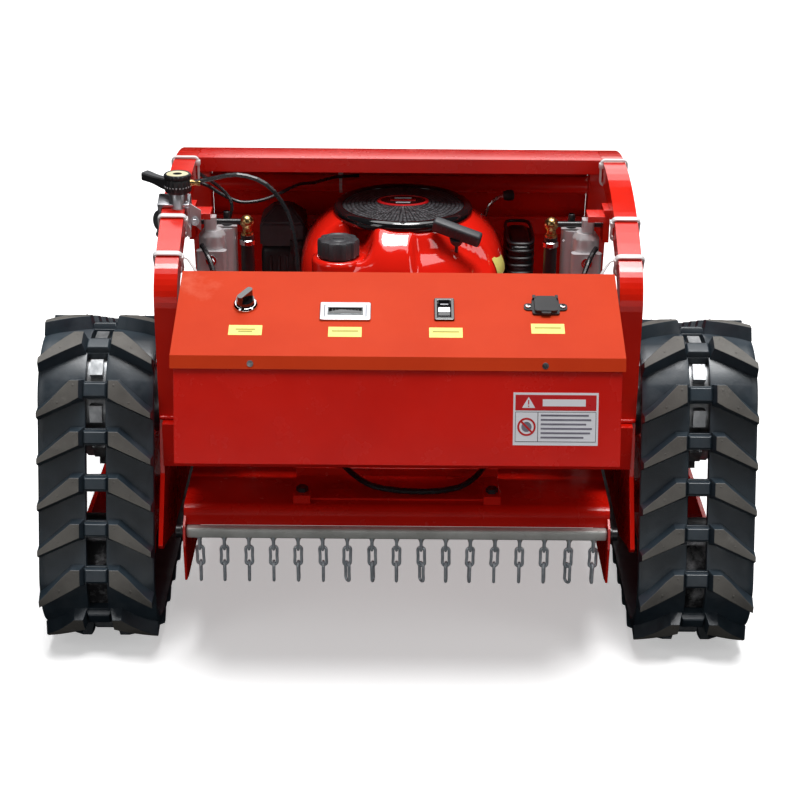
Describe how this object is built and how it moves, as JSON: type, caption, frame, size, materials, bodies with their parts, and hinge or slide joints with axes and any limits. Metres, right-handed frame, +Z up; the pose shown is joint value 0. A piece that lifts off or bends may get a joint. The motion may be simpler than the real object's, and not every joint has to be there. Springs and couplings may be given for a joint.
{
  "type": "remote-controlled brush mower",
  "caption": "Tracked remote-controlled brush mower with a sloped control box, roll hoops, a lifting cutting deck with a petrol engine, and hanging chains.",
  "frame": {"origin": "on the ground, under the middle of the bounding box", "axes": "+X to the right seen from the control box end, +Y towards the far end away from the control box, +Z up"},
  "size_m": [0.93, 0.8816, 0.6039],
  "materials": {
    "red_paint": "glossy orange-red enamel",
    "red_gloss": "high-gloss red",
    "track_rubber": "moulded black rubber with a faint blue bloom",
    "zinc_steel": "bright zinc plating",
    "bright_steel": "machined steel",
    "cast_aluminium": "satin cast aluminium",
    "black_steel": "satin black",
    "black_plastic": "moulded black plastic with a fine grain",
    "black_cable": "black cable jacket",
    "white_nylon": "milky white nylon"
  },
  "bodies": {
    "chassis": {"chassis_frame": "red_paint", "left_hoop": "red_paint", "right_hoop": "red_paint", "front_cover": "red_paint", "cross_tubes": "red_paint", "control_box": "red_paint", "control_lid": "red_paint", "lid_screws": "black_steel", "battery_pack": "black_plastic", "drive_controller": "cast_aluminium", "charge_meter": "bright_steel", "charging_port": "black_plastic", "start_switch": "bright_steel", "rocker_frame": "black_plastic", "left_track_frame": "red_paint", "right_track_frame": "red_paint", "left_track_belt": "track_rubber", "right_track_belt": "track_rubber", "left_gearmotor": "cast_aluminium", "right_gearmotor": "cast_aluminium", "left_actuator": "cast_aluminium", "right_actuator": "cast_aluminium", "gas_struts": "black_steel", "throttle_clamp": "zinc_steel", "throttle_cable": "black_cable", "cable_ties": "white_nylon", "wiring": "black_cable"},
    "start_key": {"start_knob": "black_plastic"},
    "rocker": {"rocker_switch": "black_plastic"},
    "port_lid": {"port_cover": "black_plastic"},
    "throttle": {"throttle_lever": "black_plastic"},
    "deck": {"deck_shell": "red_paint", "deck_flap": "red_paint", "deck_bolts": "black_steel", "chain_bar": "zinc_steel", "engine_block": "cast_aluminium", "engine_cowl": "red_gloss", "starter_grille": "black_plastic", "air_cleaner": "black_plastic", "muffler": "black_steel", "left_actuator_rod": "bright_steel", "right_actuator_rod": "bright_steel", "gas_strut_rods": "black_steel"},
    "chains": {"chain_curtain": "zinc_steel"},
    "filler_cap": {"fuel_cap": "black_plastic"},
    "pull_handle": {"starter_handle": "black_plastic"},
    "cutter": {"crankshaft": "bright_steel", "cutter_blade": "bright_steel"},
    "left_drive": {"left_sprocket": "bright_steel"},
    "left_near_wheel": {"left_near_idler": "black_steel"},
    "left_far_wheel": {"left_far_idler": "black_steel"},
    "left_roller_wheel_1": {"left_roller_1": "black_steel"},
    "left_roller_wheel_2": {"left_roller_2": "black_steel"},
    "left_roller_wheel_3": {"left_roller_3": "black_steel"},
    "right_drive": {"right_sprocket": "bright_steel"},
    "right_near_wheel": {"right_near_idler": "black_steel"},
    "right_far_wheel": {"right_far_idler": "black_steel"},
    "right_roller_wheel_1": {"right_roller_1": "black_steel"},
    "right_roller_wheel_2": {"right_roller_2": "black_steel"},
    "right_roller_wheel_3": {"right_roller_3": "black_steel"}
  },
  "joints": [
    {"name": "deck_lift", "type": "slide", "parent": "chassis", "child": "deck", "axis": [0, 0, 1], "range_m": [-0.08, 0]},
    {"name": "cutter_spin", "type": "hinge", "parent": "deck", "child": "cutter", "pos_m": [0.005, 0.00339, 0.124], "axis": [0, 0, 1], "continuous": true},
    {"name": "chain_swing", "type": "hinge", "parent": "deck", "child": "chains", "pos_m": [0, -0.34761, 0.1592], "axis": [1, 0, 0], "range_deg": [-60, 60]},
    {"name": "fuel_cap_turn", "type": "hinge", "parent": "deck", "child": "filler_cap", "pos_m": [-0.082, -0.09661, 0.47], "axis": [0, 0, 1], "range_deg": [0, 90]},
    {"name": "starter_pull", "type": "slide", "parent": "deck", "child": "pull_handle", "axis": [0, -0.342, 0.9397], "range_m": [0, 0.11]},
    {"name": "start_turn", "type": "hinge", "parent": "chassis", "child": "start_key", "pos_m": [-0.19, -0.31353, 0.4795], "axis": [0, -0.3144, 0.9493], "range_deg": [-60, 0]},
    {"name": "rocker_tilt", "type": "hinge", "parent": "chassis", "child": "rocker", "pos_m": [0.057, -0.32033, 0.47619], "axis": [1, 0, 0], "range_deg": [-20, 0]},
    {"name": "port_cover_swing", "type": "hinge", "parent": "chassis", "child": "port_lid", "pos_m": [0.183, -0.30181, 0.48865], "axis": [1, 0, 0], "range_deg": [-110, 0]},
    {"name": "throttle_turn", "type": "hinge", "parent": "chassis", "child": "throttle", "pos_m": [-0.289, -0.14915, 0.577], "axis": [0, 0, 1], "range_deg": [-20, 70]},
    {"name": "left_drive_turn", "type": "hinge", "parent": "chassis", "child": "left_drive", "pos_m": [-0.39, -0.20161, 0.306], "axis": [1, 0, 0], "continuous": true, "deforming": ["left_track_belt"]},
    {"name": "left_near_idler_turn", "type": "hinge", "parent": "chassis", "child": "left_near_wheel", "pos_m": [-0.39, -0.28361, 0.097], "axis": [1, 0, 0], "continuous": true},
    {"name": "left_far_idler_turn", "type": "hinge", "parent": "chassis", "child": "left_far_wheel", "pos_m": [-0.39, 0.34377, 0.097], "axis": [1, 0, 0], "continuous": true},
    {"name": "left_roller_1_turn", "type": "hinge", "parent": "chassis", "child": "left_roller_wheel_1", "pos_m": [-0.39, -0.14761, 0.053], "axis": [1, 0, 0], "continuous": true},
    {"name": "left_roller_2_turn", "type": "hinge", "parent": "chassis", "child": "left_roller_wheel_2", "pos_m": [-0.39, 0.03039, 0.053], "axis": [1, 0, 0], "continuous": true},
    {"name": "left_roller_3_turn", "type": "hinge", "parent": "chassis", "child": "left_roller_wheel_3", "pos_m": [-0.39, 0.20839, 0.053], "axis": [1, 0, 0], "continuous": true},
    {"name": "right_drive_turn", "type": "hinge", "parent": "chassis", "child": "right_drive", "pos_m": [0.39, -0.20161, 0.306], "axis": [1, 0, 0], "continuous": true, "deforming": ["right_track_belt"]},
    {"name": "right_near_idler_turn", "type": "hinge", "parent": "chassis", "child": "right_near_wheel", "pos_m": [0.39, -0.28361, 0.097], "axis": [1, 0, 0], "continuous": true},
    {"name": "right_far_idler_turn", "type": "hinge", "parent": "chassis", "child": "right_far_wheel", "pos_m": [0.39, 0.34377, 0.097], "axis": [1, 0, 0], "continuous": true},
    {"name": "right_roller_1_turn", "type": "hinge", "parent": "chassis", "child": "right_roller_wheel_1", "pos_m": [0.39, -0.14761, 0.053], "axis": [1, 0, 0], "continuous": true},
    {"name": "right_roller_2_turn", "type": "hinge", "parent": "chassis", "child": "right_roller_wheel_2", "pos_m": [0.39, 0.03039, 0.053], "axis": [1, 0, 0], "continuous": true},
    {"name": "right_roller_3_turn", "type": "hinge", "parent": "chassis", "child": "right_roller_wheel_3", "pos_m": [0.39, 0.20839, 0.053], "axis": [1, 0, 0], "continuous": true}
  ],
  "couplings": [
    {"joint": "left_near_idler_turn", "follows": "left_drive_turn", "ratio": 1.1614},
    {"joint": "left_far_idler_turn", "follows": "left_drive_turn", "ratio": 1.1614},
    {"joint": "left_roller_1_turn", "follows": "left_drive_turn", "ratio": 3.581},
    {"joint": "left_roller_2_turn", "follows": "left_drive_turn", "ratio": 3.581},
    {"joint": "left_roller_3_turn", "follows": "left_drive_turn", "ratio": 3.581},
    {"joint": "right_near_idler_turn", "follows": "right_drive_turn", "ratio": 1.1614},
    {"joint": "right_far_idler_turn", "follows": "right_drive_turn", "ratio": 1.1614},
    {"joint": "right_roller_1_turn", "follows": "right_drive_turn", "ratio": 3.581},
    {"joint": "right_roller_2_turn", "follows": "right_drive_turn", "ratio": 3.581},
    {"joint": "right_roller_3_turn", "follows": "right_drive_turn", "ratio": 3.581}
  ]
}
